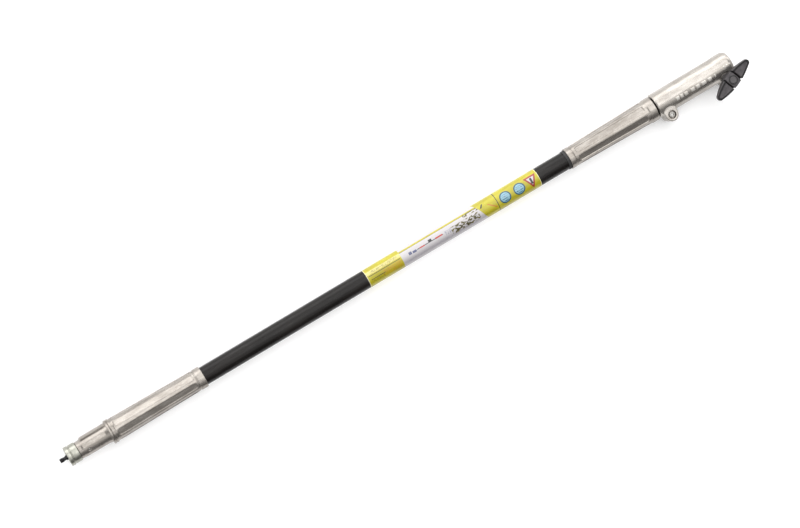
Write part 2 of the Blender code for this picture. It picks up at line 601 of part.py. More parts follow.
clear_scene()
CAST_ALUMINIUM = principled("cast_aluminium", (0.62, 0.6, 0.55), 0.6, 0.45)
MACHINED_ALUMINIUM = principled("machined_aluminium", (0.66, 0.67, 0.6), 0.85, 0.3)
COATED_STEEL = principled("coated_tube", (0.02, 0.02, 0.022), 0.1, 0.35)
PRINTED_FILM = principled("printed_film", (0.75, 0.7, 0.1), 0.0, 0.3)
RUBBER = principled("black_rubber", (0.02, 0.02, 0.02), 0.0, 0.7)
BRONZE = principled("sintered_bronze", (0.55, 0.38, 0.2), 0.9, 0.4)
BRIGHT_STEEL = principled("bright_steel", (0.7, 0.69, 0.66), 1.0, 0.25)
SPRING_STEEL = principled("spring_steel", (0.08, 0.08, 0.09), 0.8, 0.4)
DARK_STEEL = principled("dark_steel", (0.05, 0.05, 0.055), 0.8, 0.35)
KNOB_PLASTIC = principled("knob_plastic", (0.06, 0.06, 0.065), 0.0, 0.5)
DRIVE_AXIS = axis_empty("drive_axis", (0, 0, 0))
KNOB_AXIS = axis_empty("knob_axis", (KNOB_X, KNOB_Y, 0))
make_tube_group()
make_front_sleeve()
make_rear_sleeve()
make_clamp_housing()
make_drive_line()
make_clamp_screw()
make_knob()
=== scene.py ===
"""Looks of a one-metre extension pole for a shaft-driven garden tool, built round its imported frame.

The pole lies along X, its spigot towards -X and its clamp housing towards +X; the wing knob
stands up along +Z. Shapes are drawn in millimetres and degrees, and stood in the scene in metres.
An angle about the pole is counted from +Z towards -Y.
"""

import math

import bmesh
import bpy
from mathutils import Matrix, Vector


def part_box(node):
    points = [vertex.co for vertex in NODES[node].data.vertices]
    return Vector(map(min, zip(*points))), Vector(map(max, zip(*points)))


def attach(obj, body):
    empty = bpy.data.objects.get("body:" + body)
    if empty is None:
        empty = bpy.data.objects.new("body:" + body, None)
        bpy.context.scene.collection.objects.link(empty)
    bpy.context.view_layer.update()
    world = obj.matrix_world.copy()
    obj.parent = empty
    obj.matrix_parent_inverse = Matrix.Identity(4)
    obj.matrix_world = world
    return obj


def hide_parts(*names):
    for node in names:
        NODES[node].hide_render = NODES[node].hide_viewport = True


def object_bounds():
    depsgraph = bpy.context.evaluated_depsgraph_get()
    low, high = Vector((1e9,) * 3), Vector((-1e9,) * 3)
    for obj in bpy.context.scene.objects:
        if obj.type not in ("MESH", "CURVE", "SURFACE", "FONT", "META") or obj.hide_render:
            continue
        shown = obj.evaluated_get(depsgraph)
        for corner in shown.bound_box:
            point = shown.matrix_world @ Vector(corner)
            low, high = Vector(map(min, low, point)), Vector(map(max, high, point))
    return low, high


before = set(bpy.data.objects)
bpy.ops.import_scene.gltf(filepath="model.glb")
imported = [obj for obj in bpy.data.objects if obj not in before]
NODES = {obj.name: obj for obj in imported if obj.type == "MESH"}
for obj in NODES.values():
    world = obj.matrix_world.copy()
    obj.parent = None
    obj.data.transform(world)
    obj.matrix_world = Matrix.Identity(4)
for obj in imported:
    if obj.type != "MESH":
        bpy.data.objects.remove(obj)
CAD_LOW, CAD_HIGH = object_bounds()

MM = 0.001
SHARP_ANGLE = math.radians(29)


def span(node, axis=0):
    """Lowest and highest place of a CAD node along one axis, in millimetres."""
    low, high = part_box(node)
    return low[axis] / MM, high[axis] / MM


def middle(node, axis):
    """Middle of a CAD node along one axis, in millimetres."""
    low, high = span(node, axis)
    return (low + high) / 2


# Driving places and radii, read from the frame.
TIP_X = span("drive_tip")
END_RING_X = span("spigot_end_ring")
FRONT_X = span("front_sleeve")
TUBE_X = span("shaft_tube")
LABEL_X = span("label_film")
SEAL_X = span("tube_seal_ring")
REAR_X = span("rear_sleeve")
HOUSING_X = span("clamp_housing")
TUBE_R = span("shaft_tube", 2)[1]
LABEL_R = span("label_film", 2)[1]
SEAL_R = span("tube_seal_ring", 2)[1]
LIP_R = span("spigot_end_ring", 2)[1]
FLANGE_R = span("front_sleeve", 2)[1]
REAR_RING_R = span("rear_sleeve", 2)[1]
SCREW = (middle("clamp_screw", 0), middle("clamp_screw", 1))
KNOB = (middle("knob_stud", 0), middle("knob_stud", 1))
PIN_X = middle("locating_pin", 0)
NUT_Z = span("knob_nut", 2)
WASHER_Z = span("thrust_washer", 2)
KNOB_Z = span("wing_knob", 2)
CAP_Z = span("knob_cap", 2)
SCREW_Z = span("clamp_screw", 2)

# Spigot, flange and front sleeve.
GROOVE_TO_X = 32.5
SPIGOT_FROM_X = 34.5
FRONT_LIP_X = 38.6
ROOT_X = (69.0, 72.6)
SHOULDER_X = 74.0
FLANGE_GROOVE_X = (76.9, 77.4, 77.9)
FLANGE_TO_X = 80.7
FRONT_BODY_X = 83.0
FRONT_TUBE_STOP_X = 87.7
FRONT_RING_X = 209.4
SPIGOT_R = 12.8
GROOVE_R = 12.3
ROOT_R = (13.7, 14.0)
KEY_R = 15.0
KEY_HALF = 33.0
KEY_ANGLE = -90.0
KEY_RAMP_X = (34.0, 37.2)
FRONT_BODY_R = (16.2, 14.6)
FRONT_RING_R = 15.1
TUBE_WALL = 1.6
BORE_R = TUBE_R + 0.15
PIN_R = 1.6
PIN_ANGLE = 20.0

# Rear sleeve.
REAR_BODY_X = 804.8
REAR_RING_X = 925.0
REAR_BODY_R = (14.5, 16.6)
REAR_FRONT_RING_R = 14.9

# Panels sunk into both sleeves.
PANELS = 7
PANEL_HALF = 17.1
PANEL_STEP = 0.75
PANEL_CORNER = 2.6
FRONT_LAND = -8.0
REAR_LAND = -3.0

# Clamp housing, whose outside stands a little off the bore's axis.
HOUSING_R = 17.6
HOUSING_SHIFT = 1.0
BEAD_R = 18.3
BEAD_X = (1035.0, 1043.0)
REAR_LIP_X = (963.3, 966.7)
STOP_X = 996.8
SOCKET_BORE_R = 14.1
KEYWAY_R = 15.4
KEYWAY_HALF = 36.0
SEAT_TOP_Z = 12.0
LUG_R = 9.3
LUG_BOTTOM_Z = -12.0
EAR_R = 9.0
EAR_BOTTOM_Z = -11.2
SLIT = 1.6
SEAT_BORE_R = 11.15
LIP_BORE_R = 9.5
COUNTERBORE_R = 5.6
COUNTERBORE_DEPTH = 4.0
SCREW_HOLE_R = 2.8
LUG_RELIEF_R = 13.0
SEAT_RELIEF_R = 9.8
HUB_RELIEF_R = 12.6
HUB_RELIEF_Z = 14.0
NUT_RELIEF_R = 7.4

# Wing knob and its screw.
BLADE_ANGLE = 23.0
BLADE_HALF_LENGTH = 34.3
BLADE_HALF_WIDTH = 9.5
HUB_R = 10.3
BOSS_R = 6.3
CAP_R = 5.0
STUD_R = 3.0
THREAD_PITCH = 1.0

# Sides of the turned shapes, and the voxels of the fused ones in millimetres.
SLEEVE_SIDES = 264
TUBE_SIDES = 144
KNOB_SIDES = 96
SMALL_SIDES = 48
HOUSING_VOXEL = 0.48
KNOB_VOXEL = 0.37
SCREW_VOXEL = 0.11


# ---------------------------------------------------------------- mesh tools

def about_x(x, radius, degrees):
    """Point at that angle round the pole's axis, from +Z towards -Y."""
    angle = math.radians(degrees)
    return Vector((x, -radius * math.sin(angle), radius * math.cos(angle)))


def about_z(z, radius, degrees):
    """Point at that angle round an upright axis, from +X towards +Y."""
    angle = math.radians(degrees)
    return Vector((radius * math.cos(angle), radius * math.sin(angle), z))


def eased(points, radius, steps=3, closed=True):
    """The outline with each corner drawn as a small round."""
    count = len(points)
    result = []
    for i, point in enumerate(points):
        corner = Vector(point)
        if not closed and i in (0, count - 1):
            result.append(corner)
            continue
        before = Vector(points[i - 1]) - corner
        after = Vector(points[(i + 1) % count]) - corner
        cut = min(radius, 0.45 * before.length, 0.45 * after.length)
        start = corner + before.normalized() * cut
        end = corner + after.normalized() * cut
        for k in range(steps + 1):
            t = k / steps
            result.append(start * (1 - t) ** 2 + corner * 2 * t * (1 - t) + end * t ** 2)
    return [tuple(point) for point in result]


def spaced(points, step, low, high):
    """The outline with more stations between low and high, where a surface is worked."""
    result = []
    for a, b in zip(points, points[1:] + points[:1]):
        result.append(a)
        inside = low <= min(a[0], b[0]) and max(a[0], b[0]) <= high
        pieces = math.ceil(abs(b[0] - a[0]) / step) if inside else 1
        for k in range(1, pieces):
            t = k / pieces
            result.append((a[0] + (b[0] - a[0]) * t, a[1] + (b[1] - a[1]) * t))
    return result


def lathe(outline, sides=192, place=about_x, centre=(0, 0, 0), radius_at=None):
    """Turned body. An outline that starts and ends on the axis is solid, any other has a bore.

    radius_at(along, degrees, radius) works the surface: it gives the radius to use at a point.
    """
    bm = bmesh.new()
    offset = Vector(centre)
    rings = []
    for along, radius in outline:
        if radius < 1e-6:
            rings.append([bm.verts.new(place(along, 0, 0) + offset)])
            continue
        ring = []
        for k in range(sides):
            degrees = 360 * k / sides
            r = radius_at(along, degrees, radius) if radius_at else radius
            ring.append(bm.verts.new(place(along, r, degrees) + offset))
        rings.append(ring)
    solid = len(rings[0]) == 1 and len(rings[-1]) == 1
    followers = rings[1:] if solid else rings[1:] + rings[:1]
    for first, second in zip(rings, followers):
        if len(first) == 1 and len(second) == 1:
            continue
        for k in range(sides):
            n = (k + 1) % sides
            corners = [first[k % len(first)], first[n % len(first)],
                       second[n % len(second)], second[k % len(second)]]
            bm.faces.new(list(dict.fromkeys(corners)))
    bmesh.ops.recalc_face_normals(bm, faces=bm.faces)
    return bm


def prism(levels):
    """Solid through outlines of equal point counts, each a list of 3-D points."""
    bm = bmesh.new()
    loops = [[bm.verts.new(point) for point in level] for level in levels]
    bm.faces.new(loops[0])
    bm.faces.new(loops[-1])
    for low, high in zip(loops, loops[1:]):
        for i in range(len(low)):
            j = (i + 1) % len(low)
            bm.faces.new((low[i], low[j], high[j], high[i]))
    bmesh.ops.recalc_face_normals(bm, faces=bm.faces)
    return bm


def flat(points, z):
    """Outline in the XY plane, raised to a height."""
    return [(x, y, z) for x, y in points]


def round_points(centre, radius, start, end, steps):
    """Points on an arc in the XY plane, from +X towards +Y."""
    result = []
    for k in range(steps + 1):
        angle = math.radians(start + (end - start) * k / steps)
        result.append((centre[0] + radius * math.cos(angle), centre[1] + radius * math.sin(angle)))
    return result


def post(centre, radius, low, high, sides=64):
    """Round upright solid between two heights."""
    circle = round_points(centre, radius, 0, 360 - 360 / sides, sides - 1)
    return prism([flat(circle, low), flat(circle, high)])


def block(low, high):
    """Box between two corners."""
    corners = [(low[0], low[1]), (high[0], low[1]), (high[0], high[1]), (low[0], high[1])]
    return prism([flat(corners, low[2]), flat(corners, high[2])])


def mesh_from(name, bm):
    """Mesh in metres from a shape in millimetres, which is freed."""
    bmesh.ops.scale(bm, vec=(MM, MM, MM), verts=bm.verts)
    mesh = bpy.data.meshes.new(name)
    bm.to_mesh(mesh)
    bm.free()
    return mesh


def stand(name, shape, material, body, slot, *nodes):
    """Puts a mesh or bmesh in the scene as a piece that rides on a body and replaces CAD nodes."""
    mesh = mesh_from(name, shape) if isinstance(shape, bmesh.types.BMesh) else shape
    mesh.materials.clear()
    mesh.materials.append(material)
    mesh.shade_smooth()
    mesh.set_sharp_from_angle(angle=SHARP_ANGLE)
    obj = bpy.data.objects.new(name, mesh)
    bpy.context.scene.collection.objects.link(obj)
    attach(obj, body)
    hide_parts(*nodes)
    return obj


def fused(name, solids, cutters, voxel, rounds):
    """One skin over joined and cut solids, with every edge eased as a mould leaves it.

    The voxel is in millimetres, and rounds is how many times the skin is smoothed.
    """
    made = []
    for number, bm in enumerate([*solids, *cutters]):
        obj = bpy.data.objects.new(f"{name}_{number}", mesh_from(f"{name}_{number}", bm))
        bpy.context.scene.collection.objects.link(obj)
        made.append(obj)
    base = made[0]
    for number, other in enumerate(made[1:], 1):
        modifier = base.modifiers.new(other.name, "BOOLEAN")
        modifier.operation = "UNION" if number < len(solids) else "DIFFERENCE"
        modifier.solver = "MANIFOLD"
        modifier.object = other
    remesh = base.modifiers.new("skin", "REMESH")
    remesh.mode = "VOXEL"
    remesh.voxel_size = voxel * MM
    smooth = base.modifiers.new("ease", "SMOOTH")
    smooth.factor = 0.5
    smooth.iterations = rounds
    bpy.context.view_layer.update()
    graph = bpy.context.evaluated_depsgraph_get()
    mesh = bpy.data.meshes.new_from_object(base.evaluated_get(graph))
    mesh.name = name
    for obj in made:
        bpy.data.objects.remove(obj, do_unlink=True)
    return mesh


def step_between(value, low, high):
    """0 below low, 1 above high, and a smooth step between them."""
    t = min(max((value - low) / (high - low), 0.0), 1.0)
    return t * t * (3 - 2 * t)


# ---------------------------------------------------------------- material tools

class Field:
    """A number that varies over a surface. Arithmetic on it adds Math nodes."""

    def __init__(self, tree, socket):
        self.tree = tree
        self.socket = socket

    def math(self, operation, *others):
        node = self.tree.nodes.new("ShaderNodeMath")
        node.operation = operation
        for slot, value in zip(node.inputs, (self, *others)):
            if isinstance(value, Field):
                self.tree.links.new(value.socket, slot)
            else:
                slot.default_value = value
        return Field(self.tree, node.outputs[0])

    def __add__(self, other):
        return self.math("ADD", other)

    def __sub__(self, other):
        return self.math("SUBTRACT", other)

    def __mul__(self, other):
        return self.math("MULTIPLY", other)

    def above(self, edge, soft):
        """1 where the field is over the edge, with a soft change."""
        node = self.tree.nodes.new("ShaderNodeMapRange")
        node.interpolation_type = "SMOOTHSTEP"
        self.tree.links.new(self.socket, node.inputs["Value"])
        node.inputs["From Min"].default_value = edge - soft
        node.inputs["From Max"].default_value = edge + soft
        return Field(self.tree, node.outputs[0])

    def within(self, low, high, soft=0.12):
        """1 where the field is between low and high."""
        return self.above(low, soft) * (self.above(high, soft) * -1 + 1)


class Surface:
    """A node material in the making, with the surface's own coordinates in millimetres."""

    def __init__(self, name, roughness=0.4, metallic=0.0):
        self.material = bpy.data.materials.new(name)
        self.material.use_nodes = True
        self.tree = self.material.node_tree
        self.shader = self.tree.nodes["Principled BSDF"]
        self.shader.inputs["Metallic"].default_value = metallic
        self.shader.inputs["Roughness"].default_value = roughness
        self.coordinates = self.tree.nodes.new("ShaderNodeTexCoord")
        split = self.tree.nodes.new("ShaderNodeSeparateXYZ")
        self.tree.links.new(self.coordinates.outputs["Object"], split.inputs[0])
        self.x, self.y, self.z = (Field(self.tree, split.outputs[i]) * (1 / MM) for i in range(3))

    def angle(self):
        """Degrees about the pole's axis, from +Z towards -Y."""
        return (self.y * -1).math("ARCTAN2", self.z) * math.degrees(1)

    def noise(self, size, stretch=(1, 1, 1), detail=4.0, seed=(0, 0, 0)):
        """Noise whose features are about that many millimetres, drawn out along an axis."""
        mapping = self.tree.nodes.new("ShaderNodeMapping")
        mapping.inputs["Scale"].default_value = [1 / (MM * size * s) for s in stretch]
        mapping.inputs["Location"].default_value = seed
        self.tree.links.new(self.coordinates.outputs["Object"], mapping.inputs["Vector"])
        node = self.tree.nodes.new("ShaderNodeTexNoise")
        node.inputs["Scale"].default_value = 1.0
        node.inputs["Detail"].default_value = detail
        self.tree.links.new(mapping.outputs[0], node.inputs["Vector"])
        return Field(self.tree, node.outputs["Fac"])

    def mix(self, mask, under, over):
        """One colour over another where the mask is 1. A colour is an RGB triple or a socket."""
        node = self.tree.nodes.new("ShaderNodeMix")
        node.data_type = "RGBA"
        self.tree.links.new(mask.socket, node.inputs["Factor"])
        below, above, result = node.inputs[6], node.inputs[7], node.outputs[2]
        for value, slot in ((under, below), (over, above)):
            if isinstance(value, tuple):
                slot.default_value = (*value, 1.0)
            else:
                self.tree.links.new(value, slot)
        return result

    def colour(self, socket):
        """Base colour from a node's socket."""
        self.tree.links.new(socket, self.shader.inputs["Base Color"])

    def roughness(self, field, low, high):
        """Roughness that follows a field of about 0 to 1."""
        scaled = field * (high - low) + low
        self.tree.links.new(scaled.socket, self.shader.inputs["Roughness"])

    def bump(self, field, height):
        """Relief of that many millimetres."""
        node = self.tree.nodes.new("ShaderNodeBump")
        node.inputs["Strength"].default_value = 1.0
        node.inputs["Distance"].default_value = height * MM
        self.tree.links.new(field.socket, node.inputs["Height"])
        self.tree.links.new(node.outputs[0], self.shader.inputs["Normal"])


def cast_metal(name, light, dark, roughness=(0.17, 0.36)):
    """Tumbled die-cast alloy: clouded tone, fine drawn-out rubs, pits and a satin grain."""
    surface = Surface(name, metallic=0.85)
    cloud = surface.noise(9, (3, 1, 1))
    streak = surface.noise(1.0, (6, 1, 1), seed=(3, 1, 7))
    grain = surface.noise(0.35, detail=2.0)
    pit = surface.noise(1.3, seed=(9, 4, 2)).above(0.68, 0.03)
    tone = surface.mix(cloud.above(0.5, 0.18), dark, light)
    stain = (0.7 * dark[0], 0.6 * dark[1], 0.52 * dark[2])
    tone = surface.mix(streak.above(0.6, 0.14) * 0.32, tone, stain)
    scratch = surface.noise(0.45, (16, 1, 1), seed=(6, 6, 3)).above(0.62, 0.05)
    tone = surface.mix(scratch * 0.2, tone, (0.72, 0.7, 0.66))
    surface.colour(surface.mix(pit * 0.6, tone, stain))
    surface.roughness(cloud * 0.5 + streak * 0.5, *roughness)
    surface.bump(grain * 0.7 + streak * 0.3 - pit, 0.025)
    return surface.material


def turned_metal(name, light, dark, roughness=(0.16, 0.34), along=(0.12, 30, 30), metallic=1.0):
    """Machined metal with fine rings round its turning axis."""
    surface = Surface(name, metallic=metallic)
    rings = surface.noise(1.0, along, seed=(1, 5, 2))
    cloud = surface.noise(4)
    mark = surface.noise(0.6, (5, 1, 1), seed=(2, 8, 1)).above(0.67, 0.04)
    tone = surface.mix(cloud.above(0.5, 0.2), dark, light)
    surface.colour(surface.mix(mark * 0.5, tone, tuple(0.6 * c for c in dark)))
    surface.roughness(rings, *roughness)
    surface.bump(rings, 0.012)
    return surface.material


def moulded(name, base, worn, roughness):
    """Moulded plastic or rubber: fine grain, rubbed patches and dust."""
    surface = Surface(name)
    cloud = surface.noise(6)
    grain = surface.noise(0.5, detail=3.0)
    rub = surface.noise(1.6, (4, 1, 1), seed=(5, 2, 9)).above(0.64, 0.06)
    dusty = tuple(0.8 * b + 0.2 * w for b, w in zip(base, worn))
    tone = surface.mix(cloud.above(0.52, 0.2), base, dusty)
    surface.colour(surface.mix(rub * 0.5, tone, worn))
    surface.roughness(cloud * 0.5 + grain * 0.5, *roughness)
    surface.bump(grain, 0.02)
    return surface.material


def knob_plastic():
    """Charcoal glass-filled plastic, greyer on the sunk faces than on the glossy rims. The rims' near-black
    tops and the darker walls, grooves and hub lower down are painted shade.
    """
    surface = Surface("knob_charcoal")
    surface.shader.inputs["Specular IOR Level"].default_value = 0.25
    cloud = surface.noise(5)
    grain = surface.noise(0.4, detail=3.0)
    # Painted shade: the tops of the rims, drawn near black.
    rim = surface.z.above(KNOB_Z[1] - 0.72, 0.12)
    # Painted shade: walls, grooves and hub more than about 4 mm below the top are darkened.
    wall_painted_shade = surface.z.above(KNOB_Z[1] - 4, 1.0) * -1 + 1
    tone = surface.mix(cloud.above(0.5, 0.2), (0.046, 0.042, 0.045), (0.08, 0.074, 0.077))
    # Darken the low parts of the knob with painted shade.
    tone = surface.mix(wall_painted_shade * 0.6, tone, (0.008, 0.007, 0.008))
    rub = surface.noise(1.4, (3, 1, 1), seed=(5, 2, 9)).above(0.66, 0.05)
    tone = surface.mix(rub * 0.3, tone, (0.1, 0.095, 0.095))
    # Paint the rims' tops near black as shade.
    surface.colour(surface.mix(rim * 0.9, tone, (0.003, 0.003, 0.003)))
    surface.roughness(cloud * 0.5 + grain * 0.5, 0.38, 0.62)
    surface.bump(grain, 0.03)
    return surface.material


def coated_tube():
    """Black powder coat: satin, slightly pebbled, with long light rubs."""
    surface = Surface("black_powder_coat")
    surface.shader.inputs["Specular IOR Level"].default_value = 0.22
    pebble = surface.noise(0.45, detail=2.0)
    cloud = surface.noise(14, (4, 1, 1))
    rub = surface.noise(0.8, (25, 1, 1), seed=(4, 4, 1)).above(0.66, 0.05)
    tone = surface.mix(cloud.above(0.5, 0.2), (0.0045, 0.0036, 0.0032), (0.01, 0.0082, 0.0072))
    surface.colour(surface.mix(rub * 0.35, tone, (0.06, 0.058, 0.055)))
    surface.roughness(cloud, 0.2, 0.34)
    surface.bump(pebble, 0.02)
    return surface.material


def printed_film():
    """Yellow and white wrap with plain coloured marks, circles and a triangle.

    On the film, x runs along the pole and s round it from its top line, both in millimetres.
    """
    surface = Surface("printed_wrap", roughness=0.3)
    surface.shader.inputs["Coat Weight"].default_value = 0.25
    surface.shader.inputs["Coat Roughness"].default_value = 0.18
    x = surface.x
    s = surface.angle() * (math.radians(1) * LABEL_R)
    yellow, deep_yellow = (0.41, 0.365, 0.004), (0.33, 0.285, 0.003)
    # The pale cream is a painted highlight, used on the yellow field.
    painted_highlight_cream, white = (0.55, 0.49, 0.17), (0.46, 0.44, 0.45)
    olive, dark = (0.1, 0.08, 0.01), (0.015, 0.014, 0.014)
    red, orange = (0.4, 0.03, 0.02), (0.42, 0.13, 0.01)
    teal, sky = (0.008, 0.06, 0.1), (0.2, 0.38, 0.46)
    slate, brown = (0.08, 0.09, 0.17), (0.26, 0.02, 0.012)
    cloud = surface.noise(7, (3, 1, 1))
    broken = surface.noise(1.2, (1.6, 0.5, 0.5), seed=(7, 1, 3)).above(0.5, 0.04)
    blotch = surface.noise(2.6, (1.6, 1, 1), seed=(2, 6, 4)).above(0.49, 0.03)

    tone = surface.mix(cloud.above(0.5, 0.2), yellow, deep_yellow)

    def put(mask, colour):
        """Print a colour over what is there already."""
        nonlocal tone
        tone = surface.mix(mask, tone, colour)

    def rows(period):
        """Broken bars along the pole, that far apart."""
        return (s * (1 / period)).math("FRACT").within(0.25, 0.75, 0.1) * broken

    # Yellow field at the spigot's side.
    first_to, white_to = 528.0, 654.0
    first = x.within(LABEL_X[0], first_to)
    # Painted highlight: a pale cream band along the upper side of the yellow field.
    put(first * s.within(-9.5, -4.2), painted_highlight_cream)
    put(first * s.within(-9.2, -4.6) * x.within(480, 523) * rows(1.3), olive)
    put(first * s.within(-2.9, -2.1) * x.within(477, 526), dark)
    put(first * s.within(-1.2, 8.5) * x.within(496, 526) * rows(2.1), orange)
    put(first * s.within(2.6, 3.4) * x.within(478, 500), dark)
    put(first * s.within(4.4, 9.0) * x.within(478, 498) * rows(1.7), olive)

    # White field, with a slanted far edge and a thin yellow strip left along its top.
    slant = x - s * 0.45
    field = x.above(first_to, 0.2) * (slant.above(white_to, 0.2) * -1 + 1)
    put(field * (s.within(-11.5, -8.6) * -1 + 1), white)
    put(field * s.within(-9.3, -8.6), olive)
    # Painted shade: the white turns grey from about 4.5 mm round towards -Y, the side away from the light.
    put(field * s.above(4.5, 2.5) * 0.4, (0.3, 0.28, 0.31))
    put(field * x.within(533, 648) * s.within(5.5, 10.5) * rows(1.5) * 0.35, slate)
    put(field * x.within(539, 543.6) * s.within(-3.4, 0.6), slate)
    put(field * x.within(545, 551) * s.within(-2.2, 0.9), slate)
    put(field * x.within(552, 593) * s.within(-1.5, -0.5), dark)
    put(field * x.within(556, 564) * s.within(-1.8, -0.2), red)
    put(field * x.within(581, 592) * s.within(-2.2, -0.2), red)
    put(field * x.within(570.5, 575.5) * s.within(-4.6, -1.4), dark)
    put(field * x.within(596, 606) * s.within(-3.5, 2.5) * rows(1.6), slate)
    put(field * x.within(628, 652) * s.within(-10, -5.5) * blotch, olive)
    put(field * x.within(606, 650) * s.within(-3.5, 7.5) * blotch, olive)
    put(field * x.within(610, 646) * s.within(-2.5, 6.0) * broken * blotch, dark)

    # Yellow field at the clamp's side, with two round marks and a triangle.
    put((x + s * 0.8).within(650.5, 653) * s.within(-9.5, -4.5), dark)
    put((x - s * 1.1).within(670.5, 672.5) * s.within(-5, 5), orange)
    put(x.within(656, 676) * s.within(5.5, 10) * rows(1.6) * 0.6, olive)
    put(x.within(678.9, 679.9), dark)
    centre_s, circle_r, line = -0.9, 8.5, 1.8
    for centre_x in (692.4, 714.9):
        across = x - centre_x
        down = s - centre_s
        distance = (across * across + down * down).math("SQRT")
        put(distance.above(circle_r, 0.15) * -1 + 1, teal)
        put(distance.above(circle_r - line, 0.15) * -1 + 1, sky)
        inner = distance.above(circle_r - line - 0.8, 0.15) * -1 + 1
        put(inner * down.within(-4.6, -3.2) * broken, slate)
        put(inner * down.within(-1.9, -0.6) * broken, slate)
        put(inner * down.within(1.2, 2.6) * broken, teal)
        put(inner * down.above(4.2, 0.3) * 0.75, teal)
    triangle_x, half_width, base_s, apex_s = 734.6, 9.5, -9.4, 9.3
    across = (x - triangle_x).math("ABSOLUTE")
    slope = half_width / (apex_s - base_s)
    edge = (s * -1 + apex_s) * slope - across
    put(edge.above(0, 0.12) * s.above(base_s, 0.15), brown)
    put(edge.above(2.6, 0.12) * s.above(base_s + 2.4, 0.15), white)
    put(across.within(-1, 1.5) * s.within(-6.2, 2.4), dark)

    # Pale cut edges and long scuffs over the whole film.
    cut_edge = x.within(LABEL_X[0] + 0.5, LABEL_X[1] - 0.5, 0.1) * -1 + 1
    put(cut_edge, (0.78, 0.74, 0.55))
    scuff = surface.noise(0.7, (14, 1, 1), seed=(8, 3, 5)).above(0.68, 0.04)
    put(scuff * 0.3, (0.5, 0.46, 0.3))
    surface.colour(tone)
    surface.roughness(cloud, 0.24, 0.4)
    surface.bump(surface.noise(5, (4, 1, 1), seed=(1, 1, 4)), 0.03)
    return surface.material


def floor_material():
    """Pale matt floor, slightly self-lit so that it stays white."""
    surface = Surface("pale_floor", roughness=0.9)
    cloud = surface.noise(400)
    surface.colour(surface.mix(cloud, (0.9, 0.9, 0.9), (0.93, 0.93, 0.93)))
    surface.shader.inputs["Emission Color"].default_value = (1, 1, 1, 1)
    surface.shader.inputs["Emission Strength"].default_value = 0.16
    return surface.material


# ---------------------------------------------------------------- pieces

def panel_relief(x_range, radii, land_angle):
    """Worked surface of a sleeve: flat-floored panels between narrow lands, with round corners."""
    low, high = x_range
    edge = 0.32
    pitch = 360 / PANELS
    half_x = (high - low) / 2
    chord = math.cos(math.radians(PANEL_HALF))

    def radius_at(x, degrees, radius):
        if not low - 1 < x < high + 1 or radius < BORE_R + 1:
            return radius
        offset = (degrees - land_angle) % pitch - pitch / 2
        full = radii[0] + (radii[1] - radii[0]) * (x - low) / (high - low)
        across = abs(math.radians(offset) * full) - math.radians(PANEL_HALF) * full + PANEL_CORNER
        along = abs(x - (low + high) / 2) - half_x + PANEL_CORNER
        outside = math.hypot(max(across, 0), max(along, 0)) + min(max(across, along), 0) - PANEL_CORNER
        floor_r = (full * chord - PANEL_STEP) / math.cos(math.radians(offset))
        return radius + (floor_r - radius) * (1 - step_between(outside, -edge, edge))

    return radius_at


def make_front_sleeve():
    """Spigot with its key, double-beaded shoulder flange and the long panelled sleeve."""
    start, end = FRONT_X
    neck_r = FRONT_BODY_R[0] - 0.3
    recess_r = FRONT_BODY_R[1] - 0.7
    outline = eased([
        (start, SEAT_BORE_R), (start, GROOVE_R - 0.5), (start + 0.5, GROOVE_R), (GROOVE_TO_X, GROOVE_R),
        (SPIGOT_FROM_X, SPIGOT_R), (ROOT_X[0], SPIGOT_R), (ROOT_X[1], ROOT_R[0]),
        (SHOULDER_X, ROOT_R[1]), (SHOULDER_X, FLANGE_R), (FLANGE_GROOVE_X[0], FLANGE_R),
        (FLANGE_GROOVE_X[1], FLANGE_R - 1.1), (FLANGE_GROOVE_X[2], FLANGE_R), (FLANGE_TO_X, FLANGE_R),
        (FLANGE_TO_X, neck_r), (FRONT_BODY_X - 0.8, neck_r), (FRONT_BODY_X, FRONT_BODY_R[0]),
        (FRONT_RING_X - 1.8, FRONT_BODY_R[1]), (FRONT_RING_X - 1.4, recess_r),
        (FRONT_RING_X, recess_r), (FRONT_RING_X, FRONT_RING_R), (end, FRONT_RING_R), (end, BORE_R),
        (FRONT_TUBE_STOP_X, BORE_R), (FRONT_TUBE_STOP_X, SEAT_BORE_R), (PIN_X + 3, SEAT_BORE_R),
        (PIN_X + 2, LIP_BORE_R), (FRONT_LIP_X, LIP_BORE_R), (FRONT_LIP_X, SEAT_BORE_R),
    ], 0.45)
    outline = spaced(outline, 0.8, SPIGOT_FROM_X - 0.6, SHOULDER_X + 0.1)
    outline = spaced(outline, 0.9, FRONT_BODY_X - 0.1, FRONT_RING_X)
    panels = panel_relief((FRONT_BODY_X + 2, FRONT_RING_X - 4), FRONT_BODY_R, FRONT_LAND)
    pin = about_x(PIN_X, SPIGOT_R, PIN_ANGLE)

    def radius_at(x, degrees, radius):
        if x >= SHOULDER_X - 0.01 or radius < GROOVE_R - 0.4 or x < SPIGOT_FROM_X - 1:
            return panels(x, degrees, radius)
        offset = (degrees - KEY_ANGLE + 180) % 360 - 180
        side = math.radians(KEY_HALF - abs(offset)) * KEY_R
        key = step_between(side, -0.3, 0.3) * step_between(x, *KEY_RAMP_X)
        dimple = step_between((about_x(x, SPIGOT_R, degrees) - pin).length, PIN_R + 0.8, PIN_R + 0.1)
        return radius + (max(KEY_R, radius) - radius) * key - 0.7 * dimple

    return lathe(outline, SLEEVE_SIDES, radius_at=radius_at)


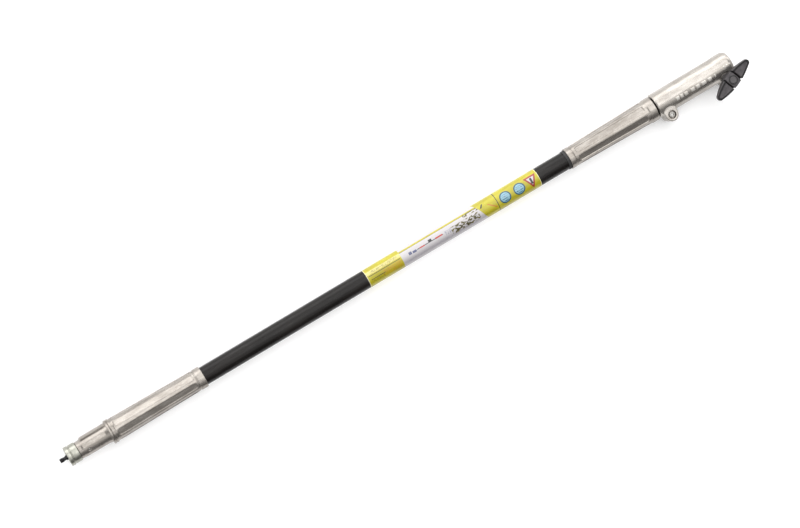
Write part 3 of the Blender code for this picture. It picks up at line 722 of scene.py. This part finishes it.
def make_rear_sleeve():
    """Panelled sleeve that widens towards the housing, with a plain ring at each end."""
    start, end = REAR_X
    ring_to = REAR_BODY_X - 2
    recess_r = REAR_BODY_R[0] - 0.7
    outline = eased([
        (start, BORE_R), (start, REAR_FRONT_RING_R), (ring_to, REAR_FRONT_RING_R),
        (ring_to, recess_r), (ring_to + 1.1, recess_r), (ring_to + 1.5, REAR_BODY_R[0]),
        (REAR_RING_X - 1.6, REAR_BODY_R[1]), (REAR_RING_X, REAR_RING_R), (end, REAR_RING_R),
        (end, BORE_R),
    ], 0.5)
    outline = spaced(outline, 0.9, ring_to + 1, REAR_RING_X)
    panels = panel_relief((REAR_BODY_X + 4, REAR_RING_X - 6), REAR_BODY_R, REAR_LAND)
    return lathe(outline, SLEEVE_SIDES, radius_at=panels)


def make_housing():
    """Die-cast housing with its lug, ear, pockets, slits, socket and keyway."""
    start, end = HOUSING_X
    outline = eased([
        (start, 0), (start, HOUSING_R - 1.5), (start + 1.5, HOUSING_R), (BEAD_X[0], HOUSING_R),
        (BEAD_X[1], BEAD_R), (end - 5.2, BEAD_R), (end - 1.2, BEAD_R - 1.9), (end, BEAD_R - 3.0),
        (end, 0),
    ], 2.2, steps=5, closed=False)
    solids = [lathe(outline, centre=(0, HOUSING_SHIFT, 0))]
    root_y, flare, round_below, chamfer = -9.0, 1.5, 0.8, 0.9
    for (x, y), radius, bottom in ((SCREW, LUG_R, LUG_BOTTOM_Z), (KNOB, EAR_R, EAR_BOTTOM_Z)):
        levels = []
        for z, inset in ((bottom, round_below), (bottom + round_below, 0),
                         (SEAT_TOP_Z - chamfer, 0), (SEAT_TOP_Z, chamfer)):
            tab = round_points((x, y), radius - inset, 180, 360, 40)
            tab += [(x + radius + flare - inset, root_y), (x - radius - flare + inset, root_y)]
            levels.append(flat(tab, z))
        solids.append(prism(levels))
    above = BEAD_R + 2
    deep = SEAT_TOP_Z - COUNTERBORE_DEPTH
    half = SLIT / 2
    outer_y = SCREW[1] - LUG_R - 2
    slits = ((start - 2, SCREW[0] + 15), (KNOB[0] - 24, end + 2))
    bore = lathe([
        (start - 2, 0), (start - 2, BORE_R), (REAR_LIP_X[0], BORE_R), (REAR_LIP_X[0], LIP_BORE_R),
        (REAR_LIP_X[1], LIP_BORE_R), (REAR_LIP_X[1], SEAT_BORE_R), (STOP_X, SEAT_BORE_R),
        (STOP_X, SOCKET_BORE_R), (end - 1, SOCKET_BORE_R), (end + 1, SOCKET_BORE_R + 2), (end + 1, 0),
    ])
    keyway = []
    angles = [KEY_ANGLE + KEYWAY_HALF * (k / 10 - 1) for k in range(21)]
    for x in (STOP_X + 1, end + 2):
        outer = [about_x(x, KEYWAY_R, degrees) for degrees in angles]
        inner = [about_x(x, SOCKET_BORE_R - 3, degrees) for degrees in reversed(angles)]
        keyway.append(outer + inner)
    cutters = [
        bore, prism(keyway),
        post(SCREW, LUG_RELIEF_R, SEAT_TOP_Z, above), post(KNOB, SEAT_RELIEF_R, SEAT_TOP_Z, above),
        post(KNOB, HUB_RELIEF_R, HUB_RELIEF_Z, above),
        *(block((low, outer_y, -half), (high, root_y, half)) for low, high in slits),
        post(KNOB, NUT_RELIEF_R, NUT_Z[0] - 3, EAR_BOTTOM_Z),
        post(SCREW, COUNTERBORE_R, deep, above),
        post(SCREW, SCREW_HOLE_R, LUG_BOTTOM_Z - 2, deep + 1),
        post(KNOB, STUD_R + 0.4, EAR_BOTTOM_Z - 2, above),
    ]
    return fused("housing_skin", solids, cutters, HOUSING_VOXEL, 4)


def make_pads():
    """Row of plain raised pads along the housing, with a few small dots near the mouth."""
    # Middle along the pole, length, middle angle and half angle.
    pads = [(968.0, 5.2, 14, 9.5), (974.6, 4.8, 14, 9.5), (981.6, 5.6, 14, 9.5), (992.4, 6.2, 14, 9.5),
            (1000.8, 5.8, 14, 9.5), (1010.6, 7.0, 14, 9.5), (1020.6, 6.0, 14, 9.5), (1029.2, 2.4, 12, 9.0),
            (1045.2, 2.4, -3, 4), (1050.2, 2.0, -3, 4), (1054.4, 1.6, -3, 4)]
    steps = 14
    height, seated, skirt, ease = 0.85, 0.12, 0.5, 0.5
    rim = [(0, k) for k in range(steps)] + [(i, steps) for i in range(steps)]
    rim += [(steps, steps - k) for k in range(steps)] + [(steps - i, 0) for i in range(steps)]
    bm = bmesh.new()
    for middle_x, length, angle, half_angle in pads:
        body_r = HOUSING_R if middle_x < BEAD_X[0] else BEAD_R
        half_arc = math.radians(half_angle) * body_r
        rims = []
        for is_top in (True, False):
            grid = []
            for i in range(steps + 1):
                row = []
                for k in range(steps + 1):
                    u, v = 2 * i / steps - 1, 2 * k / steps - 1
                    inward = min(length / 2 * (1 - abs(u)), half_arc * (1 - abs(v)))
                    rise = height * step_between(inward, 0, ease) - seated if is_top else -skirt
                    point = about_x(middle_x + u * length / 2, body_r + rise, angle + v * half_angle)
                    row.append(bm.verts.new(point + Vector((0, HOUSING_SHIFT, 0))))
                grid.append(row)
            rims.append([grid[i][k] for i, k in rim])
            for i in range(steps):
                for k in range(steps):
                    bm.faces.new((grid[i][k], grid[i + 1][k], grid[i + 1][k + 1], grid[i][k + 1]))
        top, below = rims
        for i in range(len(rim)):
            j = (i + 1) % len(rim)
            bm.faces.new((top[i], top[j], below[j], below[i]))
    bmesh.ops.recalc_face_normals(bm, faces=bm.faces)
    return bm


def from_knob(points):
    """Points along and across the knob's blade, brought to the pole's XY plane."""
    turn = math.radians(BLADE_ANGLE)
    return [(KNOB[0] + u * math.cos(turn) - v * math.sin(turn),
             KNOB[1] + u * math.sin(turn) + v * math.cos(turn)) for u, v in points]


def lens(half_length, half_width, tip_width, steps=40):
    """Outline of the knob's blade: two bowed sides and round tips, turned to the blade's angle."""
    straight = half_length - tip_width * 0.85
    side = []
    for k in range(-steps, steps + 1):
        u = straight * k / steps
        side.append((u, tip_width + (half_width - tip_width) * (1 - (u / straight) ** 2)))
    tip = []
    for k in range(1, 12):
        angle = math.radians(90 - 15 * k)
        tip.append((straight + (half_length - straight) * math.cos(angle), tip_width * math.sin(angle)))
    points = side + tip
    return from_knob(points + [(-u, -v) for u, v in points])


def make_knob():
    """Wing knob: bowed blade with sunk faces and raised rims, two grooves and a round boss."""
    bottom, top = KNOB_Z
    centre = (*KNOB, 0)
    blade_bottom, rise, tip_width = 20.4, 9.0, 4.4
    outer = lens(BLADE_HALF_LENGTH, BLADE_HALF_WIDTH, tip_width)
    shrunk = lens(BLADE_HALF_LENGTH - 0.9, BLADE_HALF_WIDTH - 0.9, tip_width - 0.8)

    def swept_up(point, lift):
        """The blade's underside, which rises towards its tips."""
        far = (Vector(point) - Vector(KNOB)).length / BLADE_HALF_LENGTH
        return (*point, blade_bottom + rise * far * far + lift)

    blade = prism([[swept_up(point, 0) for point in shrunk], [swept_up(point, 1.0) for point in outer],
                   flat(outer, top - 0.9), flat(shrunk, top)])
    foot_bottom, foot_top, hub_top = 17.4, 22.6, 22.4
    foot = lens(19.0, BLADE_HALF_WIDTH + 0.1, 4.0)
    base = prism([flat(foot, foot_bottom), flat(foot, foot_top)])
    hub_outline = eased([(bottom, 0), (bottom, HUB_R), (hub_top, HUB_R), (hub_top, 0)], 1.0, closed=False)
    hub = lathe(hub_outline, KNOB_SIDES, about_z, centre)

    above = top + 2
    sunk = lens(BLADE_HALF_LENGTH - 3.0, BLADE_HALF_WIDTH - 2.6, tip_width - 2.2)
    cutters = [prism([flat(sunk, top - 1.0), flat(sunk, above)])]
    groove_from, groove_to, groove_bottom, bow = 6.3, 8.9, 26.5, 1.0
    wide = BLADE_HALF_WIDTH + 2
    for side in (-1, 1):
        near, far = [], []
        for k in range(13):
            v = wide * (k / 6 - 1)
            bowed = bow * (1 - (v / wide) ** 2)
            near.append((side * (groove_from + bowed), v))
            far.append((side * (groove_to + bowed), v))
        path = from_knob(near + far[::-1])
        cutters.append(prism([flat(path, groove_bottom), flat(path, above)]))
    saddle = from_knob([(-8, -wide), (8, -wide), (8, wide), (-8, wide)])
    cutters.append(prism([flat(saddle, top - 1.6), flat(saddle, above)]))
    cutters.append(post(KNOB, STUD_R + 0.15, bottom - 1, top))
    skin = fused("knob_skin", [blade, base, hub], cutters, KNOB_VOXEL, 3)

    boss_bottom, boss_top = 22.5, CAP_Z[1] - 0.3
    boss = eased([(boss_bottom, CAP_R + 0.2), (boss_bottom, BOSS_R), (boss_top, BOSS_R),
                  (boss_top, CAP_R + 0.2)], 0.5)
    return skin, lathe(boss, KNOB_SIDES, about_z, centre)


def make_screw():
    """Socket-head screw: knurled rim, dished top and a hexagon socket."""
    low, top = SCREW_Z
    head_r, shank_r, socket_r, dish, knurls = 4.0, 2.5, 2.25, 0.3, 30
    seat = top - 3.2
    outline = eased([(low, 0), (low, 1.9), (low + 0.6, shank_r), (seat, shank_r), (seat, head_r),
                     (top - 0.6, head_r), (top, head_r - 0.9), (top, shank_r), (top - dish, socket_r)],
                    0.25, closed=False)

    def worked(z, degrees, radius):
        knurl = 0.09 * math.cos(math.radians(degrees * knurls))
        return radius + knurl * step_between(radius, head_r - 0.15, head_r)

    screw = lathe([*outline, (top - dish, 0)], 240, about_z, (*SCREW, 0), worked)
    hexagon = round_points(SCREW, socket_r, 0, 300, 5)
    socket = prism([flat(hexagon, top - 2.0), flat(hexagon, top + 1)])
    return fused("socket_screw", [screw], [socket], SCREW_VOXEL, 1)


def make_tip():
    """Splined end of the drive shaft, with a neck and the shaft's shoulder behind it."""
    start, end = TIP_X
    teeth, tip_r, root_r, neck_r, shoulder_r = 8, 3.0, 2.4, 2.6, 3.6
    spline_to, neck_to, shoulder_from = 4.5, 8.4, 9.2
    outline = eased([(start, 0), (start, tip_r - 0.4), (start + 0.5, tip_r), (spline_to, tip_r),
                     (spline_to + 0.4, neck_r), (neck_to, neck_r), (shoulder_from, shoulder_r),
                     (end, shoulder_r), (end, 0)], 0.25, closed=False)
    outline = spaced(outline, 0.5, start, spline_to)

    def worked(x, degrees, radius):
        if x > spline_to or radius < root_r:
            return radius
        wave = math.cos(math.radians(degrees * teeth))
        return root_r + (radius - root_r) * step_between(wave, -0.35, 0.35)

    return lathe(outline, radius_at=worked)


def make_end_ring():
    """Turned ring at the end of the spigot, with a fine groove round it."""
    start, end = END_RING_X
    groove_from, groove_to, groove_r = 16.2, 18.0, 12.9
    band_r, band_to, tail_r, step_x = 13.5, 27.0, 10.9, 18.5
    outer_bore_r, inner_bore_r = 9.3, 8.6
    return lathe(eased([
        (start, outer_bore_r), (start, LIP_R), (groove_from, LIP_R), (groove_from + 0.4, groove_r),
        (groove_to - 0.4, groove_r), (groove_to, band_r), (band_to, band_r), (band_to, tail_r),
        (end, tail_r), (end, inner_bore_r), (step_x, inner_bore_r), (step_x, outer_bore_r),
    ], 0.5))


def make_pin():
    """Round-ended locating pin, standing out of the spigot."""
    pin = lathe(eased([(11.6, 0), (11.6, PIN_R), (SPIGOT_R - 0.1, PIN_R), (SPIGOT_R + 0.1, 0)], 0.5,
                      closed=False), SMALL_SIDES, about_z)
    bmesh.ops.rotate(pin, verts=pin.verts, matrix=Matrix.Rotation(math.radians(PIN_ANGLE), 3, "X"))
    bmesh.ops.translate(pin, verts=pin.verts, vec=(PIN_X, 0, 0))
    return pin


def make_sheath(x_range, inner_r, outer_r, edge):
    """Plain round sheath along the pole, with eased edges."""
    start, end = x_range
    outline = [(start, inner_r), (start, outer_r), (end, outer_r), (end, inner_r)]
    return lathe(eased(outline, edge), TUBE_SIDES)


def make_cap():
    """Slightly dished disc in the knob's middle."""
    low, high = CAP_Z
    edge_r = CAP_R - 0.1
    outline = eased([(low, 0), (low, edge_r), (high - 0.5, edge_r), (high - 0.1, CAP_R - 0.8),
                     (high - 0.25, 2.2), (high, 0)], 0.4, closed=False)
    return lathe(outline, KNOB_SIDES, about_z, (*KNOB, 0))


def make_stud():
    """Threaded stud under the knob."""
    low, high = span("knob_stud", 2)
    depth, step = 0.35, 0.125

    def threaded(z, degrees, radius):
        turns = (z / THREAD_PITCH - degrees / 360) % 1.0
        return radius - depth * abs(2 * turns - 1) * step_between(radius, STUD_R - 0.2, STUD_R)

    corners = [(low, 0), (low, STUD_R - 0.6), (low + 0.6, STUD_R), (high, STUD_R), (high, 0)]
    outline = []
    for (z, radius), (next_z, next_radius) in zip(corners, corners[1:]):
        pieces = max(1, math.ceil(abs(next_z - z) / step))
        for k in range(pieces):
            t = k / pieces
            outline.append((z + (next_z - z) * t, radius + (next_radius - radius) * t))
    outline.append(corners[-1])
    return lathe(outline, SMALL_SIDES, about_z, (*KNOB, 0), threaded)


def make_washer():
    """Thrust washer between the knob and the housing."""
    low, high = WASHER_Z
    inner_r, outer_r = STUD_R + 0.2, span("thrust_washer", 0)[1] - KNOB[0]
    outline = eased([(low, inner_r), (low, outer_r), (high, outer_r), (high, inner_r)], 0.35)
    return lathe(outline, KNOB_SIDES, about_z, (*KNOB, 0))


def make_nut():
    """Hexagon nut under the lower ear, its corners turned off at both faces."""
    low, high = NUT_Z
    inner_r, face_r, corner_r, half_across = STUD_R + 0.2, 4.9, 5.75, 5.0

    def hexagonal(z, degrees, radius):
        if radius < STUD_R + 1:
            return radius
        return min(radius, half_across / math.cos(math.radians((degrees + 30) % 60 - 30)))

    outline = eased([(low, inner_r), (low, face_r), (low + 0.6, corner_r), (high - 0.6, corner_r),
                     (high, face_r), (high, inner_r)], 0.15)
    return lathe(outline, TUBE_SIDES, about_z, (*KNOB, 0), hexagonal)


def add_pieces():
    """Every detailed piece, each on the body of the CAD nodes that it stands for."""
    cast = cast_metal("sleeve_alloy", (0.35, 0.324, 0.296), (0.25, 0.228, 0.205))
    housing = cast_metal("housing_alloy", (0.43, 0.405, 0.375), (0.32, 0.298, 0.272))
    raised = cast_metal("rubbed_alloy", (0.74, 0.715, 0.675), (0.62, 0.595, 0.555), (0.25, 0.4))
    machined = turned_metal("machined_alloy", (0.36, 0.358, 0.315), (0.28, 0.278, 0.243), (0.2, 0.38))
    bright = turned_metal("plated_steel", (0.42, 0.41, 0.39), (0.3, 0.29, 0.27), along=(30, 30, 0.12))
    dark = turned_metal("blued_steel", (0.03, 0.029, 0.03), (0.016, 0.0155, 0.017), (0.25, 0.45),
                        metallic=0.9)
    rubber = moulded("black_rubber", (0.014, 0.014, 0.014), (0.06, 0.058, 0.055), (0.55, 0.8))
    # Painted shade: the boss round the cap is near black, darker than the knob's plastic.
    boss_painted_shade = moulded("knob_boss_painted_shade", (0.005, 0.005, 0.005), (0.03, 0.028, 0.028), (0.3, 0.5))
    cap_grey = moulded("knob_cap_grey", (0.055, 0.05, 0.052), (0.12, 0.115, 0.115), (0.4, 0.6))

    stand("spigot_and_sleeve", make_front_sleeve(), cast, "pole", "casting", "front_sleeve")
    stand("panelled_sleeve", make_rear_sleeve(), cast, "pole", "casting", "rear_sleeve")
    stand("housing_casting", make_housing(), housing, "pole", "casting", "clamp_housing")
    stand("housing_pads", make_pads(), raised, "pole", "casting")
    stand("end_ring_turned", make_end_ring(), machined, "pole", "machined", "spigot_end_ring")

    tube = make_sheath(TUBE_X, TUBE_R - TUBE_WALL, TUBE_R, 0.4)
    stand("coated_tube", tube, coated_tube(), "pole", "tube", "shaft_tube")
    film = make_sheath(LABEL_X, TUBE_R + 0.04, LABEL_R, 0.08)
    stand("printed_wrap", film, printed_film(), "pole", "label", "label_film")
    seal = make_sheath(SEAL_X, BORE_R, SEAL_R, 0.35)
    stand("seal_ring_moulded", seal, rubber, "pole", "rubber", "tube_seal_ring")

    stand("spigot_pin", make_pin(), bright, "pole", "bright_steel", "locating_pin")
    stand("splined_tip", make_tip(), dark, "drive_line", "dark_steel", "drive_tip")
    stand("socket_screw", make_screw(), bright, "pole", "bright_steel", "clamp_screw")

    skin, boss = make_knob()
    stand("knob_wings", skin, knob_plastic(), "knob", "knob", "wing_knob")
    # The boss carries painted shade round the cap.
    stand("knob_boss", boss, boss_painted_shade, "knob", "knob")
    stand("knob_cap_disc", make_cap(), cap_grey, "knob", "knob", "knob_cap")
    stand("stud_threaded", make_stud(), bright, "knob", "bright_steel", "knob_stud")
    stand("washer_turned", make_washer(), bright, "knob_carriage", "bright_steel", "thrust_washer")
    stand("hexagon_nut", make_nut(), bright, "pole", "bright_steel", "knob_nut")
    finish_inside(dark, rubber)


def finish_inside(dark, rubber):
    """Materials for the CAD nodes that are kept as they are, all of them inside the pole."""
    spring = turned_metal("spring_steel", (0.13, 0.13, 0.14), (0.07, 0.07, 0.08), (0.25, 0.45))
    bearing = turned_metal("bearing_steel", (0.6, 0.6, 0.6), (0.45, 0.45, 0.46), (0.12, 0.3))
    cage = turned_metal("cage_brass", (0.6, 0.44, 0.2), (0.45, 0.32, 0.14), (0.25, 0.45))
    bronze = turned_metal("sintered_bronze", (0.5, 0.34, 0.18), (0.38, 0.25, 0.13), (0.35, 0.6))
    carried = {
        "drive_shaft": dark, "drive_socket": dark, "front_dust_seal": rubber,
        "front_shaft_circlip": spring, "rear_shaft_circlip": spring, "rear_bore_circlip": spring,
    }
    for end_name in ("front", "rear"):
        carried[f"{end_name}_bearing_outer_ring"] = bearing
        carried[f"{end_name}_bearing_inner_ring"] = bearing
        carried[f"{end_name}_bearing_ball_cage"] = cage
    for number in (1, 2, 3):
        carried[f"guide_bush_{number}"] = bronze
        carried[f"guide_bush_mount_{number}"] = rubber
    for node, material in carried.items():
        for slot in NODES[node].material_slots:
            slot.material = material


# ---------------------------------------------------------------- studio

# Camera: angles, then metres, then the lens in millimetres.
VIEW_TILT = math.radians(9.1)
VIEW_SWING = math.radians(8.0)
VIEW_ROLL = math.radians(30.8)
VIEW_DISTANCE = 4.0
AIM_X = 0.524
AIM_BELOW_AXIS = 0.0057
LENS = 133.9
SENSOR_WIDTH = 36.0

# Floor, in millimetres.
FLOOR_HALF = 6000
FLOOR_DEPTH = 10
FLOOR_GAP = 0.05

# Brightness of the surround at angles about the pole's axis, from +Z towards -Y.
SURROUND = [(-180, 0.4), (-128, 0.2), (-104, 0.4), (-86, 3.4), (-58, 3.2), (-42, 0.8), (-12, 0.55),
            (6, 1.4), (30, 1.3), (42, 0.4), (66, 0.2), (96, 0.1), (130, 0.12)]
SUN_STRENGTH = 1.1
SUN_SPREAD = math.radians(50)
SUN_TOWARD = (0.25, 0.35, 1.0)


def add_camera():
    """Camera above the pole, a little towards -X and +Y, rolled so that the pole climbs to the right."""
    toward = Vector((-math.sin(VIEW_TILT), math.cos(VIEW_TILT) * math.sin(VIEW_SWING),
                     math.cos(VIEW_TILT) * math.cos(VIEW_SWING)))
    along = (Vector((1, 0, 0)) - toward * toward.x).normalized()
    down = toward.cross(along) * -1
    right = along * math.cos(VIEW_ROLL) + down * math.sin(VIEW_ROLL)
    up = along * math.sin(VIEW_ROLL) - down * math.cos(VIEW_ROLL)
    aim = Vector((AIM_X, 0, 0)) + down * AIM_BELOW_AXIS
    camera = bpy.data.objects.new("camera", bpy.data.cameras.new("camera"))
    bpy.context.scene.collection.objects.link(camera)
    turn = Matrix((right, up, toward)).transposed().to_4x4()
    camera.matrix_world = Matrix.Translation(aim + toward * VIEW_DISTANCE) @ turn
    camera.data.lens = LENS
    camera.data.sensor_width = SENSOR_WIDTH
    camera.data.clip_end = 50
    bpy.context.scene.camera = camera


def add_floor():
    """Wide pale slab just under the pole."""
    level = CAD_LOW.z / MM
    slab = block((-FLOOR_HALF, -FLOOR_HALF, level - FLOOR_DEPTH), (FLOOR_HALF, FLOOR_HALF, level - FLOOR_GAP))
    floor = bpy.data.objects.new("floor", mesh_from("floor", slab))
    floor.data.materials.append(floor_material())
    bpy.context.scene.collection.objects.link(floor)


def add_light():
    """Surround that is brightest to the +Y side and falls off towards -Y, and a broad soft sun."""
    world = bpy.data.worlds.new("studio")
    bpy.context.scene.world = world
    world.use_nodes = True
    tree = world.node_tree
    place = tree.nodes.new("ShaderNodeTexCoord")
    split = tree.nodes.new("ShaderNodeSeparateXYZ")
    tree.links.new(place.outputs["Generated"], split.inputs[0])
    y = Field(tree, split.outputs[1])
    z = Field(tree, split.outputs[2])
    turn = (y * -1).math("ARCTAN2", z) * (0.5 / math.pi) + 0.5
    ramp = tree.nodes.new("ShaderNodeValToRGB")
    tree.links.new(turn.socket, ramp.inputs[0])
    elements = ramp.color_ramp.elements
    brightest = max(level for _, level in SURROUND)
    for degrees, level in SURROUND:
        element = elements.new(degrees / 360 + 0.5) if degrees > -180 else elements[0]
        shade = level / brightest
        warm = 1 - 0.1 * step_between(degrees, 40, 100)
        element.color = (shade, shade * (0.5 + 0.5 * warm), shade * warm, 1)
    elements[-1].position = 1.0
    elements[-1].color = elements[0].color
    background = tree.nodes["Background"]
    tree.links.new(ramp.outputs["Color"], background.inputs["Color"])
    background.inputs["Strength"].default_value = brightest
    sun = bpy.data.lights.new("sun", "SUN")
    sun.energy = SUN_STRENGTH
    sun.angle = SUN_SPREAD
    lamp = bpy.data.objects.new("sun", sun)
    lamp.rotation_mode = "QUATERNION"
    lamp.rotation_quaternion = Vector(SUN_TOWARD).normalized().to_track_quat("Z", "Y")
    bpy.context.scene.collection.objects.link(lamp)
    bpy.context.scene.view_settings.view_transform = "Standard"


add_pieces()
add_floor()
add_light()
add_camera()
